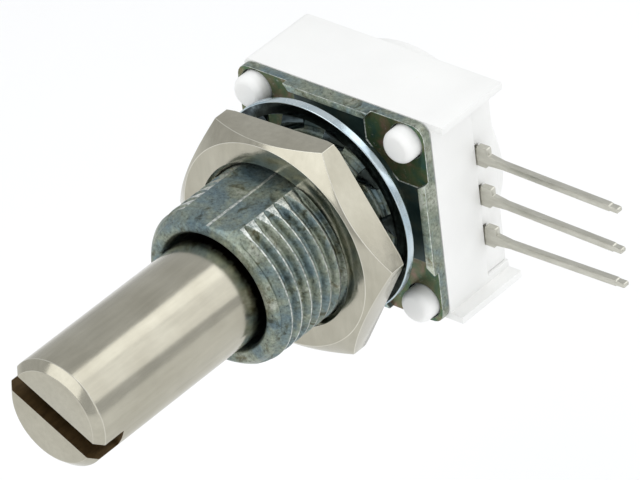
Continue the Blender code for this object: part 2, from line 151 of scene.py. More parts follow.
class Graph:
    """A small helper that wires a procedural material on a Principled shader."""

    def __init__(self, name):
        self.material = bpy.data.materials.new(name)
        self.material.use_nodes = True
        self.nodes = self.material.node_tree.nodes
        self.links = self.material.node_tree.links
        self.shader = self.nodes["Principled BSDF"]
        self.normal = None

    def add(self, kind, **values):
        node = self.nodes.new(kind)
        for key, value in values.items():
            setattr(node, key, value)
        return node

    def coords(self, stretch=(1, 1, 1)):
        """Object coordinates in millimetres, stretched to draw a grain along one axis."""
        source = self.add("ShaderNodeTexCoord")
        mapping = self.add("ShaderNodeMapping")
        mapping.inputs["Scale"].default_value = [s / MM for s in stretch]
        self.links.new(source.outputs["Object"], mapping.inputs["Vector"])
        return mapping.outputs["Vector"]

    def noise(self, scale, detail=4.0, roughness=0.55, stretch=(1, 1, 1), distortion=0.0):
        node = self.add("ShaderNodeTexNoise")
        node.inputs["Scale"].default_value = scale
        node.inputs["Detail"].default_value = detail
        node.inputs["Roughness"].default_value = roughness
        node.inputs["Distortion"].default_value = distortion
        self.links.new(self.coords(stretch), node.inputs["Vector"])
        return node.outputs["Fac"]

    def ramp(self, factor, *stops):
        """Maps a factor to colours or grey values at given positions."""
        node = self.add("ShaderNodeValToRGB")
        elements = node.color_ramp.elements
        while len(elements) < len(stops):
            elements.new(0.5)
        for element, (position, color) in zip(elements, stops):
            element.position = position
            if not isinstance(color, tuple):
                color = (color, color, color)
            element.color = (*color, 1.0)
        self.links.new(factor, node.inputs["Fac"])
        return node.outputs["Color"]

    def mix(self, factor, first, second, blend="MIX"):
        node = self.add("ShaderNodeMix", data_type="RGBA", blend_type=blend)
        # The node's factor and its two colour sockets.
        sockets = (node.inputs[0], node.inputs[6], node.inputs[7])
        for socket, value in zip(sockets, (factor, first, second)):
            if isinstance(value, (int, float)):
                socket.default_value = value
            elif isinstance(value, tuple):
                socket.default_value = (*value, 1.0)
            else:
                self.links.new(value, socket)
        return node.outputs[2]

    def mouth_band(self):
        """A ragged-edged mask: 1 beside the bushing's mouth, 0 further along the shaft."""
        source = self.add("ShaderNodeTexCoord")
        split = self.add("ShaderNodeSeparateXYZ")
        self.links.new(source.outputs["Object"], split.inputs["Vector"])
        ragged = self.noise(2.6, 4, 0.65, (1, 0.35, 1))
        shift = self.add("ShaderNodeMath", operation="MULTIPLY_ADD")
        self.links.new(ragged, shift.inputs[0])
        shift.inputs[1].default_value = -0.9 * MM
        self.links.new(split.outputs["Y"], shift.inputs[2])
        edge = self.add("ShaderNodeMapRange")
        self.links.new(shift.outputs["Value"], edge.inputs["Value"])
        edge.inputs["From Min"].default_value = -(MOUTH + 0.63) * MM
        edge.inputs["From Max"].default_value = -(MOUTH + 0.45) * MM
        return edge.outputs["Result"]

    def bump(self, height, strength, depth):
        """Adds a bump of a depth in millimetres on top of the ones before it."""
        node = self.add("ShaderNodeBump")
        node.inputs["Strength"].default_value = strength
        node.inputs["Distance"].default_value = depth * MM
        self.links.new(height, node.inputs["Height"])
        if self.normal is not None:
            self.links.new(self.normal, node.inputs["Normal"])
        self.normal = node.outputs["Normal"]

    def finish(self, color, roughness, metallic=1.0, **more):
        inputs = self.shader.inputs
        for key, value in (("Base Color", color), ("Roughness", roughness), ("Metallic", metallic)):
            if isinstance(value, (int, float)):
                inputs[key].default_value = value
            elif isinstance(value, tuple):
                inputs[key].default_value = (*value, 1.0)
            else:
                self.links.new(value, inputs[key])
        for key, value in more.items():
            inputs[key.replace("_", " ")].default_value = value
        if self.normal is not None:
            self.links.new(self.normal, inputs["Normal"])
        return self.material


def nickel(name, stretch, gloss, dark_at_mouth=False):
    """Satin nickel plate with a faint grain along one axis, dark brown in a ragged band where the shaft
    leaves the bore.
    """
    g = Graph(name)
    cloud = g.noise(0.35, 3)
    streak = g.noise(3.0, 5, 0.6, stretch)
    fine = g.noise(16.0, 4, 0.6, stretch)
    color = g.ramp(cloud, (0.3, (0.39, 0.37, 0.30)), (0.7, (0.455, 0.435, 0.36)))
    color = g.mix(0.3, color, g.ramp(streak, (0.3, 0.40), (0.7, 0.60)), "OVERLAY")
    if dark_at_mouth:
        # A ragged dark brown band where the shaft leaves the bore.
        color = g.mix(g.mouth_band(), color, (0.075, 0.055, 0.035))
    rough = g.ramp(streak, (0.25, gloss), (0.75, gloss + 0.09))
    g.bump(fine, 0.5, 0.002)
    g.bump(g.noise(0.9, 2), 0.25, 0.01)
    return g.finish(color, rough)


def zinc_cast(name, lift=1.0, metallic=0.7):
    """Passivated die-cast zinc: pitted, blue-grey with green and pale clouds. Lift makes its colour
    lighter, as painted light.
    """
    g = Graph(name)

    def lifted(*color):
        return tuple(channel * lift for channel in color)

    cloud = g.noise(0.55, 5, 0.6, distortion=0.4)
    fleck = g.noise(5.5, 6, 0.7)
    color = g.ramp(
        cloud,
        (0.28, lifted(0.085, 0.135, 0.165)),
        (0.42, lifted(0.15, 0.20, 0.20)),
        (0.56, lifted(0.22, 0.25, 0.195)),
        (0.72, lifted(0.42, 0.44, 0.38)),
    )
    color = g.mix(0.9, color, g.ramp(fleck, (0.32, 0.24), (0.68, 0.76)), "OVERLAY")
    blotch = g.noise(1.1, 5, 0.65, distortion=0.8)
    stain = g.ramp(blotch, (0.54, (1.0, 1.0, 1.0)), (0.66, (0.42, 0.38, 0.28)))
    color = g.mix(1.0, color, stain, "MULTIPLY")
    rough = g.ramp(fleck, (0.3, 0.24), (0.7, 0.46))
    g.bump(g.noise(8.0, 5, 0.65), 0.6, 0.02)
    g.bump(g.noise(1.4, 4), 0.5, 0.07)
    return g.finish(color, rough, metallic)


def wear_and_highlight_zinc(name, light):
    """The casting's edges and thread crests: bright bare metal where rubbed, painted lighter still as a
    highlight, broken up by specks.
    """
    g = Graph(name)
    fleck = g.noise(4.5, 5, 0.7)
    color = g.ramp(fleck, (0.38, (0.20, 0.235, 0.22)), (0.6, (0.96 * light, light, 0.94 * light)))
    g.bump(g.noise(8.0, 5, 0.65), 0.5, 0.012)
    return g.finish(color, 0.3, 0.75)


def shaded_zinc(name):
    """The casting's sunk fields: painted near-black as shade, with green, brown and rust tints."""
    g = Graph(name)
    cloud = g.noise(0.8, 4, 0.6, distortion=0.6)
    color = g.ramp(
        cloud,
        (0.3, (0.02, 0.042, 0.042)),
        (0.5, (0.04, 0.07, 0.065)),
        (0.62, (0.07, 0.085, 0.065)),
        (0.8, (0.14, 0.16, 0.14)),
    )
    g.bump(g.noise(6.0, 5, 0.6), 0.5, 0.015)
    return g.finish(color, 0.36, 0.5)


def corner_zinc(name):
    """The lowered corners: green-black between pale flecks, turning rust-brown beside the posts."""
    g = Graph(name)
    cloud = g.noise(0.9, 5, 0.6, distortion=0.5)
    color = g.ramp(
        cloud,
        (0.3, (0.045, 0.11, 0.085)),
        (0.45, (0.085, 0.14, 0.065)),
        (0.55, (0.15, 0.15, 0.075)),
        (0.68, (0.26, 0.165, 0.125)),
    )
    speck = g.ramp(g.noise(5.0, 5, 0.7), (0.62, 0.0), (0.7, 1.0))
    color = g.mix(speck, color, (0.36, 0.38, 0.34))
    g.bump(g.noise(5.0, 5, 0.6), 0.5, 0.03)
    return g.finish(color, 0.34, 0.6)


def blue_zinc(name):
    """Bright zinc plate with a blue tint."""
    g = Graph(name)
    cloud = g.noise(0.9, 4)
    color = g.ramp(cloud, (0.3, (0.40, 0.50, 0.56)), (0.7, (0.60, 0.68, 0.71)))
    rough = g.ramp(g.noise(4.0, 4), (0.3, 0.16), (0.7, 0.30))
    g.bump(g.noise(7.0, 4), 0.4, 0.008)
    return g.finish(color, rough)


def shaded_washer_zinc(name):
    """The washer's front face and teeth, oily and painted near-black as shade under the nut."""
    g = Graph(name)
    cloud = g.noise(1.4, 4, 0.6)
    color = g.ramp(
        cloud,
        (0.35, (0.015, 0.02, 0.022)),
        (0.6, (0.05, 0.065, 0.07)),
        (0.75, (0.22, 0.27, 0.29)),
    )
    g.bump(g.noise(5.0, 4), 0.4, 0.01)
    return g.finish(color, 0.2)


def white_plastic(name):
    """Moulded white thermoplastic, slightly glossy, with faint flow clouds and small marks."""
    g = Graph(name)
    cloud = g.noise(0.25, 3)
    mark = g.noise(2.2, 6, 0.7)
    color = g.ramp(cloud, (0.3, (0.85, 0.85, 0.835)), (0.7, (0.885, 0.885, 0.87)))
    stain = g.ramp(mark, (0.68, (1.0, 1.0, 1.0)), (0.80, (0.93, 0.91, 0.86)))
    color = g.mix(1.0, color, stain, "MULTIPLY")
    rough = g.ramp(mark, (0.3, 0.42), (0.7, 0.54))
    g.bump(g.noise(4.0, 5), 0.35, 0.01)
    g.bump(g.noise(0.6, 2), 0.3, 0.03)
    return g.finish(color, rough, 0.0, Specular_IOR_Level=0.4)


def tinned(name):
    """Satin tin plate on a stamped blade, drawn along the blade."""
    g = Graph(name)
    streak = g.noise(4.0, 5, 0.6, (0.25, 1, 1))
    color = g.ramp(streak, (0.3, (0.50, 0.49, 0.43)), (0.7, (0.61, 0.60, 0.535)))
    rough = g.ramp(g.noise(3.0, 4), (0.3, 0.30), (0.7, 0.46))
    g.bump(streak, 0.5, 0.01)
    return g.finish(color, rough)


def slot_metal(name):
    """The slot's sawn walls: bare brass, coloured dark brown."""
    g = Graph(name)
    streak = g.noise(3.0, 5, 0.6, (1, 0.3, 1))
    color = g.ramp(streak, (0.3, (0.045, 0.027, 0.009)), (0.7, (0.10, 0.062, 0.024)))
    g.bump(streak, 0.5, 0.01)
    return g.finish(color, 0.42, 0.7)


def plain_metal(name, dark, light, rough):
    """A rolled or ground metal for the running parts."""
    g = Graph(name)
    cloud = g.noise(1.2, 4)
    g.bump(g.noise(8.0, 4), 0.4, 0.005)
    low = max(rough - 0.05, 0.02)
    color = g.ramp(cloud, (0.3, dark), (0.7, light))
    return g.finish(color, g.ramp(cloud, (0.3, low), (0.7, rough + 0.05)))


def plain_plastic(name, dark, light, rough):
    """A moulded plastic for the running parts."""
    g = Graph(name)
    g.bump(g.noise(3.0, 4), 0.4, 0.01)
    return g.finish(g.ramp(g.noise(0.8, 4), (0.3, dark), (0.7, light)), rough, 0.0)


# The shaft's nickel turns dark brown in a band at the bushing's mouth.
SHAFT_NICKEL = nickel("shaft_nickel", (1, 0.12, 1), 0.13, dark_at_mouth=True)
NUT_NICKEL = nickel("nut_nickel", (1, 1, 0.2), 0.12)
# A lighter nickel: painted highlight on the shaft's chamfer and slot edges.
SHAFT_EDGE_HIGHLIGHT = plain_metal("shaft_edge_highlight", (0.50, 0.48, 0.41), (0.61, 0.59, 0.51), 0.24)
# A lighter nickel for the nut's edges: polished metal, painted lighter as a highlight.
NUT_EDGE_POLISH_AND_HIGHLIGHT = plain_metal("nut_edge_polish_highlight", (0.62, 0.60, 0.52), (0.74, 0.72, 0.64), 0.22)
ZINC = zinc_cast("zinc_casting")
# The rim's faces: the same casting, less metallic, its colour painted lighter as light on the rim.
LIT_RIM_ZINC = zinc_cast("zinc_rim_lit", 2.2, 0.4)
# Bright zinc for edges, crests and the seam ridge: rubbed metal and painted highlight.
EDGE_ZINC = wear_and_highlight_zinc("zinc_edge", 0.85)
CREST_ZINC = wear_and_highlight_zinc("zinc_crest", 0.68)
# Painted shade for the sunk field and the shoulder's side.
SHADE_ZINC = shaded_zinc("zinc_recess_shade")
CORNER_ZINC = corner_zinc("zinc_corner")
BLUE_ZINC = blue_zinc("washer_zinc")
# Painted shade for the washer's front face and teeth, oily too.
SHADED_WASHER_FACE = shaded_washer_zinc("washer_face_shade")
WHITE = white_plastic("white_plastic")
TINNED = tinned("tinned_brass")
SLOT_METAL = slot_metal("slot_brass")


# ---- mesh helpers ----

def rounded(points, radius, steps=4):
    """An open polyline of (x, y) whose inner corners are turned into arcs."""
    result = [points[0]]
    for before, corner, after in zip(points, points[1:], points[2:]):
        corner = Vector(corner)
        to_before = Vector(before) - corner
        to_after = Vector(after) - corner
        reach = min(radius, to_before.length * 0.45, to_after.length * 0.45)
        start = corner + to_before.normalized() * reach
        end = corner + to_after.normalized() * reach
        for i in range(steps + 1):
            t = i / steps
            point = start * (1 - t) ** 2 + corner * 2 * t * (1 - t) + end * t * t
            result.append((point.x, point.y))
    result.append(points[-1])
    return result


def rounded_loop(points, radius, steps=4):
    """A closed outline with all its corners rounded."""
    middle = ((points[0][0] + points[-1][0]) / 2, (points[0][1] + points[-1][1]) / 2)
    return rounded([middle, *points, middle], radius, steps)[:-1]


def lathe(profile, steps=FINE, closed=False):
    """A turned solid about Z from (radius, height) points, outer side from top to bottom."""
    bm = bmesh.new()
    rings = []
    for radius, height in profile:
        if radius < 1e-6:
            rings.append([bm.verts.new((0, 0, height))] * steps)
            continue
        ring = []
        for i in range(steps):
            angle = 2 * math.pi * i / steps
            ring.append(bm.verts.new((radius * math.cos(angle), radius * math.sin(angle), height)))
        rings.append(ring)
    pairs = list(zip(rings, rings[1:]))
    if closed:
        pairs.append((rings[-1], rings[0]))
    for upper, lower in pairs:
        for i in range(steps):
            k = (i + 1) % steps
            corners = []
            for vert in (upper[i], lower[i], lower[k], upper[k]):
                if vert not in corners:
                    corners.append(vert)
            if len(corners) > 2:
                bm.faces.new(corners)
    return bm


def extrusion(outline, bottom, top):
    """A solid from one closed outline in XY."""
    bm = bmesh.new()
    face = bm.faces.new([bm.verts.new((x, y, bottom)) for x, y in outline])
    grown = bmesh.ops.extrude_face_region(bm, geom=[face])
    moved = [v for v in grown["geom"] if isinstance(v, bmesh.types.BMVert)]
    bmesh.ops.translate(bm, verts=moved, vec=(0, 0, top - bottom))
    return bm


def block(low, high):
    bm = bmesh.new()
    bmesh.ops.create_cube(bm, size=1.0)
    bmesh.ops.scale(bm, vec=Vector(high) - Vector(low), verts=bm.verts)
    bmesh.ops.translate(bm, vec=(Vector(high) + Vector(low)) / 2, verts=bm.verts)
    return bm


def circle(radius, steps=FINE, center=(0.0, 0.0)):
    turn = 2 * math.pi / steps
    return [
        (center[0] + radius * math.cos(i * turn), center[1] + radius * math.sin(i * turn))
        for i in range(steps)
    ]


def rounded_rectangle(width, height, radius):
    x = width / 2
    y = height / 2
    return rounded_loop([(x, -y), (x, y), (-x, y), (-x, -y)], radius, 6)


def raw_object(name, bm, *materials):
    """A working object, still upright and in millimetres."""
    mesh = bpy.data.meshes.new(name)
    for material in materials:
        mesh.materials.append(material)
    bmesh.ops.recalc_face_normals(bm, faces=bm.faces)
    bm.to_mesh(mesh)
    bm.free()
    obj = bpy.data.objects.new(name, mesh)
    bpy.context.scene.collection.objects.link(obj)
    return obj


def apply_modifiers(obj):
    bpy.context.view_layer.update()
    evaluated = obj.evaluated_get(bpy.context.evaluated_depsgraph_get())
    mesh = bpy.data.meshes.new_from_object(evaluated)
    obj.modifiers.clear()
    old = obj.data
    obj.data = mesh
    bpy.data.meshes.remove(old)
    return obj


def boolean(obj, operation, *tools):
    """Cuts, joins or intersects an object with working meshes, which are then removed."""
    others = []
    for number, bm in enumerate(tools):
        other = raw_object(f"{obj.name}_tool_{number}", bm)
        modifier = obj.modifiers.new(other.name, "BOOLEAN")
        modifier.operation = operation
        modifier.solver = "EXACT"
        modifier.object = other
        others.append(other)
    apply_modifiers(obj)
    for other in others:
        mesh = other.data
        bpy.data.objects.remove(other, do_unlink=True)
        bpy.data.meshes.remove(mesh)
    return obj


def soften(obj, width, segments=2, angle=30, material=-1):
    """Rounds every edge sharper than the angle. The rounding can have a material index of its own."""
    bevel = obj.modifiers.new("edges", "BEVEL")
    bevel.width = width
    bevel.segments = segments
    bevel.limit_method = "ANGLE"
    bevel.angle_limit = math.radians(angle)
    bevel.use_clamp_overlap = True
    bevel.material = material
    return apply_modifiers(obj)


def placed(obj, body, node, sharp=40):
    """Lays a finished piece into the frame, in metres, in place of its CAD node."""
    obj.data.transform(LAY_DOWN)
    obj.data.shade_smooth()
    obj.data.set_sharp_from_angle(angle=math.radians(sharp))
    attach(obj, body)
    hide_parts(node)
    return obj


def paint(obj, index, wanted):
    """Gives a material index to the faces whose centre and normal, still upright, pass a test."""
    for face in obj.data.polygons:
        if wanted(face.center, face.normal):
            face.material_index = index


# ---- shaft ----

def make_shaft():
    """The round shaft with its slotted tip, its ring groove and the square that drives the insides."""
    outline = rounded([
        (0.0, SHAFT_TIP),
        (SHAFT_RADIUS - TIP_CHAMFER, SHAFT_TIP),
        (SHAFT_RADIUS, SHAFT_TIP - TIP_CHAMFER),
        (SHAFT_RADIUS, RING_GROOVE_TOP),
    ], 0.05, 3)
    outline += [
        (RING_GROOVE_RADIUS, RING_GROOVE_TOP),
        (RING_GROOVE_RADIUS, RING_GROOVE_BOTTOM),
        (SHAFT_RADIUS, RING_GROOVE_BOTTOM),
        (SHAFT_RADIUS, COLLAR_BOTTOM),
        (0.0, COLLAR_BOTTOM),
    ]
    shaft = raw_object("slotted_shaft", lathe(outline, 192), SHAFT_NICKEL, SLOT_METAL, SHAFT_EDGE_HIGHLIGHT)
    drive_low = (-DRIVE_HALF, -DRIVE_HALF, SHAFT_LOW.z)
    boolean(shaft, "UNION", block(drive_low, (DRIVE_HALF, DRIVE_HALF, RING_GROOVE_BOTTOM)))
    reach = SHAFT_RADIUS + 1
    half_slot = SLOT_WIDTH / 2
    slot = block((-reach, -half_slot, SHAFT_TIP - SLOT_DEPTH), (reach, half_slot, SHAFT_TIP + 1))
    bmesh.ops.rotate(slot, matrix=Matrix.Rotation(SLOT_ANGLE, 3, "Z"), verts=slot.verts)
    boolean(shaft, "DIFFERENCE", slot)
    across = Vector((-math.sin(SLOT_ANGLE), math.cos(SLOT_ANGLE), 0))

    def in_slot(center, _normal):
        deep = SHAFT_TIP - SLOT_DEPTH - 0.01 < center.z < SHAFT_TIP - 0.02
        return deep and abs(center.dot(across)) < half_slot + 0.002

    def chamfer_highlight(center, normal):
        on_tip = center.z > SHAFT_TIP - TIP_CHAMFER - 0.04
        return on_tip and (0.1 < normal.z < 0.6 or 0.8 < normal.z < 0.99)

    # The slot's edge rounding and the tip chamfer's edges get the lighter nickel as a painted highlight.
    soften(shaft, 0.03, 2, 35, 2)
    paint(shaft, 2, chamfer_highlight)
    paint(shaft, 1, in_slot)
    placed(shaft, "shaft_assembly", "shaft")


# ---- threaded bushing and its plate ----

# One turn of the thread from crest to crest: (share of the pitch, share of the depth).
THREAD_FORM = [
    (0.00, 0.00), (0.06, 0.00), (0.10, 0.06), (0.15, 0.18), (0.20, 0.34), (0.25, 0.52), (0.30, 0.70),
    (0.35, 0.86), (0.40, 0.96), (0.45, 1.00), (0.55, 1.00), (0.60, 0.96), (0.65, 0.86), (0.70, 0.70),
    (0.75, 0.52), (0.80, 0.34), (0.85, 0.18), (0.90, 0.06), (0.94, 0.00),
]
THREAD_BOTTOM = 0.3
THREAD_COLUMNS = 480
SEAM_ANGLE = 87.4
SEAM_HEIGHT = 0.018
CREST_HEIGHT = 8.81
CREST_ANGLE = math.radians(67)


def thread_share(turns):
    """How deep the thread form is at a share of the pitch past a crest."""
    turns %= 1.0
    for (t0, d0), (t1, d1) in zip(THREAD_FORM, THREAD_FORM[1:] + [(1.0, 0.0)]):
        if t0 <= turns <= t1:
            return d0 + (d1 - d0) * (turns - t0) / (t1 - t0)
    return 0.0


def smooth_step(low, high, value):
    t = min(max((value - low) / (high - low), 0.0), 1.0)
    return t * t * (3 - 2 * t)


def bushing_radius(angle, height):
    """The bushing's outside: a thread that fades beside the two flats and a lead-in cone."""
    turns = (height - CREST_HEIGHT) / THREAD_PITCH - (angle - CREST_ANGLE) / (2 * math.pi)
    from_flat = abs(math.degrees(angle) % 180 - 90)
    raised = 1.0 - min(max((from_flat - 23.5) / 11, 0.0), 1.0)
    fade_out = smooth_step(THREAD_BOTTOM, THREAD_BOTTOM + 0.5, height)
    radius = THREAD_RADIUS - THREAD_DEPTH * fade_out * max(thread_share(turns) - raised, 0.0)
    into = max(height - (MOUTH - LEAD_IN), 0.0) / LEAD_IN
    lead = THREAD_RADIUS + 0.02 - (THREAD_RADIUS - LIP_RADIUS) * (0.55 * into + 0.45 * into * into)
    flat = FLAT_DISTANCE / max(abs(math.sin(angle)), 1e-6)
    if abs(math.degrees(angle) - SEAM_ANGLE) < 0.9:
        flat += SEAM_HEIGHT
    return min(radius, lead, flat)


def make_barrel():
    """Columns of points round the axis. The thread's rows climb one pitch in a turn, so they join one
    turn's worth of rows further on, and the rows past either end fold onto the end."""
    per_turn = len(THREAD_FORM)
    turns_needed = int((MOUTH - THREAD_BOTTOM) / THREAD_PITCH) + 3
    rows = per_turn * turns_needed
    first = CREST_HEIGHT - THREAD_PITCH * CREST_ANGLE / (2 * math.pi)
    above = int((MOUTH - first) / THREAD_PITCH) + 1
    heights = []
    for row in range(rows + 1):
        turn, step = divmod(row, per_turn)
        # Going down the barrel, the form is read backwards from the crest.
        share = (1.0 - THREAD_FORM[-step][0]) if step else 0.0
        heights.append(first + THREAD_PITCH * (above - turn - share))
    inside = rounded([
        (SHAFT_BORE, PLATE_BACK - 0.5),
        (SHAFT_BORE, MOUTH - 2.2),
        (BORE_RADIUS, MOUTH - 2.0),
        (BORE_RADIUS, MOUTH - 0.27),
        (BORE_RADIUS + 0.12, MOUTH - 0.06),
        (BORE_RADIUS + 0.22, MOUTH),
        (LIP_RADIUS - 0.06, MOUTH),
    ], 0.05, 2)
    foot = [
        (THREAD_RADIUS - 0.12, THREAD_BOTTOM - 0.02),
        (THREAD_RADIUS - 0.12, 0.04),
        (THREAD_RADIUS - 0.08, 0.0),
        (SHOULDER_RADIUS - 0.06, 0.0),
        (SHOULDER_RADIUS, -0.06),
        (SHOULDER_RADIUS, -1.3),
        (SPIGOT_RADIUS, -1.3),
        (SPIGOT_RADIUS, PLATE_BACK - 0.5),
    ]
    bm = bmesh.new()
    columns = []
    for i in range(THREAD_COLUMNS):
        angle = 2 * math.pi * i / THREAD_COLUMNS
        climb = THREAD_PITCH * i / THREAD_COLUMNS
        points = list(inside)
        for height in heights:
            level = min(max(height + climb, THREAD_BOTTOM), MOUTH - 0.04)
            points.append((bushing_radius(angle, level), level))
        points += foot
        cos_a = math.cos(angle)
        sin_a = math.sin(angle)
        columns.append([bm.verts.new((r * cos_a, r * sin_a, z)) for r, z in points])
    first_row = len(inside)
    last_row = first_row + rows

    def joined_row(row):
        """Where a row of the last column continues in the first one."""
        if first_row <= row <= last_row:
            return max(row - per_turn, first_row)
        return row

    count = len(columns[0])
    for i in range(THREAD_COLUMNS):
        here = columns[i]
        wraps = i == THREAD_COLUMNS - 1
        after = columns[(i + 1) % THREAD_COLUMNS]
        for row in range(count):
            below = (row + 1) % count
            a = joined_row(row) if wraps else row
            b = joined_row(below) if wraps else below
            if row == last_row and wraps:
                a = last_row
            corners = []
            for vert in (here[row], after[a], after[b], here[below]):
                if vert not in corners:
                    corners.append(vert)
            if len(corners) > 2:
                bm.faces.new(corners)
    # The last column ends one turn's worth of rows early; those rows lie folded on the bottom edge.
    bmesh.ops.remove_doubles(bm, verts=bm.verts, dist=2e-4)
    barrel = raw_object("threaded_bushing", bm, ZINC, CREST_ZINC, SHADE_ZINC)

    def crest(center, _normal):
        on_thread = THREAD_BOTTOM + 0.3 < center.z < MOUTH - LEAD_IN + 0.1
        return on_thread and math.hypot(center.x, center.y) > THREAD_RADIUS - 0.012

    def seam(center, _normal):
        from_seam = math.degrees(math.atan2(center.y, center.x)) - SEAM_ANGLE
        on_flat = FLAT_DISTANCE - 0.01 < center.y < FLAT_DISTANCE + 0.03
        return on_flat and center.z > THREAD_BOTTOM and abs(from_seam) < 1.2

    def foot_side(center, _normal):
        return center.z < -0.02 and math.hypot(center.x, center.y) > THREAD_RADIUS

    # Crests and the seam ridge get the bright zinc: rubbed metal and a painted highlight.
    paint(barrel, 1, crest)
    paint(barrel, 1, seam)
    # The shoulder's side, between washer and plate, is painted dark as shade.
    paint(barrel, 2, foot_side)
    placed(barrel, "body", "bushing", sharp=50)


def corner_outline(sx, sy):
    """The outline of a lowered corner, which is open to both sides of the plate."""
    near = 2.4
    chamfered = 4.35
    short = 5.65
    out = WIDTH / 2 + 1
    corner = [
        (out, near + 0.5), (out, out), (near + 0.5, out), (near + 0.5, HEIGHT / 2), (near, short),
        (near, chamfered), (chamfered, near), (short, near), (WIDTH / 2, near + 0.5),
    ]
    if sx * sy < 0:
        corner.reverse()
    return [(sx * x, sy * y) for x, y in corner]


CORNERS = [(sx, sy) for sx in (-1, 1) for sy in (-1, 1)]


def make_plate():
    """The square plate behind the shoulder: rim, sunk field, lowered corners and post holes."""
    outline = rounded_rectangle(WIDTH, HEIGHT, 0.9)
    finishes = (ZINC, SHADE_ZINC, CORNER_ZINC, EDGE_ZINC, LIT_RIM_ZINC)
    plate = raw_object("bushing_plate", extrusion(outline, PLATE_BACK, RIM_FACE), *finishes)
    half_x = WIDTH / 2 - SIDE_RIM
    half_y = HEIGHT / 2 - TOP_RIM
    tools = [block((-half_x, -half_y, RECESS_FLOOR), (half_x, half_y, 1.0))]
    for sx, sy in CORNERS:
        tools.append(extrusion(corner_outline(sx, sy), CORNER_FLOOR, 1.1))
        center = (sx * POST_OFFSET, sy * POST_OFFSET)
        tools.append(extrusion(circle(POST_RADIUS + 0.05, 48, center), PLATE_BACK - 1, 1.2))
    tools.append(extrusion(circle(SPIGOT_HOLE_RADIUS), PLATE_BACK - 1, 1.3))
    boolean(plate, "DIFFERENCE", *tools)
    # The plate's edge rounding gets the bright zinc: rubbed edges and a painted highlight.
    soften(plate, 0.06, 2, 30, 3)

    def recess(center, normal):
        return abs(center.z - RECESS_FLOOR) < 0.02 and normal.z > 0.9

    def lowered_corner(center, normal):
        return abs(center.z - CORNER_FLOOR) < 0.02 and normal.z > 0.9

    def rim(center, normal):
        return abs(center.z - RIM_FACE) < 0.02 and normal.z > 0.9

    # The sunk field is painted dark as shade.
    paint(plate, 1, recess)
    paint(plate, 2, lowered_corner)
    # The rim faces get the lighter copy of the casting: painted light.
    paint(plate, 4, rim)
    placed(plate, "body", "bushing")


# ---- nut and lock washer ----

def make_nut():
    """The hex nut, chamfered in front, with grooves in its bore for the thread."""
    corner = NUT_FLATS / math.sqrt(3)
    hexagon = [
        (corner * math.cos(NUT_ANGLE + i * math.pi / 3), corner * math.sin(NUT_ANGLE + i * math.pi / 3))
        for i in range(6)
    ]
    back, front = NUT_LOW.z, NUT_HIGH.z
    nut = raw_object("hex_nut_turned", extrusion(hexagon, back, front), NUT_NICKEL, NUT_EDGE_POLISH_AND_HIGHLIGHT)
    drop = NUT_CHAMFER_DROP / (corner - NUT_FACE_RADIUS)
    wide = corner + 0.4
    chamfered = lathe([
        (0.0, front + 0.001),
        (NUT_FACE_RADIUS, front + 0.001),
        (wide, front - drop * (wide - NUT_FACE_RADIUS)),
        (wide, back + 0.25),
        (corner - 0.25, back - 0.001),
        (0.0, back - 0.001),
    ], 192)
    boolean(nut, "INTERSECT", chamfered)
    bore = [(0.0, front + 0.5), (NUT_COUNTERSINK, front + 0.5), (NUT_COUNTERSINK, front - 0.05)]
    height = front - 0.28
    while height > back + 0.35:
        bore += [(NUT_BORE, height), (NUT_BORE, height - 0.12), (NUT_BORE + 0.2, height - 0.4)]
        bore += [(NUT_BORE + 0.2, height - 0.5)]
        height -= THREAD_PITCH
    bore += [
        (NUT_BORE, back + 0.25),
        (NUT_COUNTERSINK, back - 0.02),
        (NUT_COUNTERSINK, back - 0.5),
        (0.0, back - 0.5),
    ]
    boolean(nut, "DIFFERENCE", lathe(bore, 128))
    # The nut's edge rounding gets the lighter nickel: polished edges, painted lighter as a highlight.
    soften(nut, 0.05, 3, 24, 1)
    placed(nut, "nut", "hex_nut")


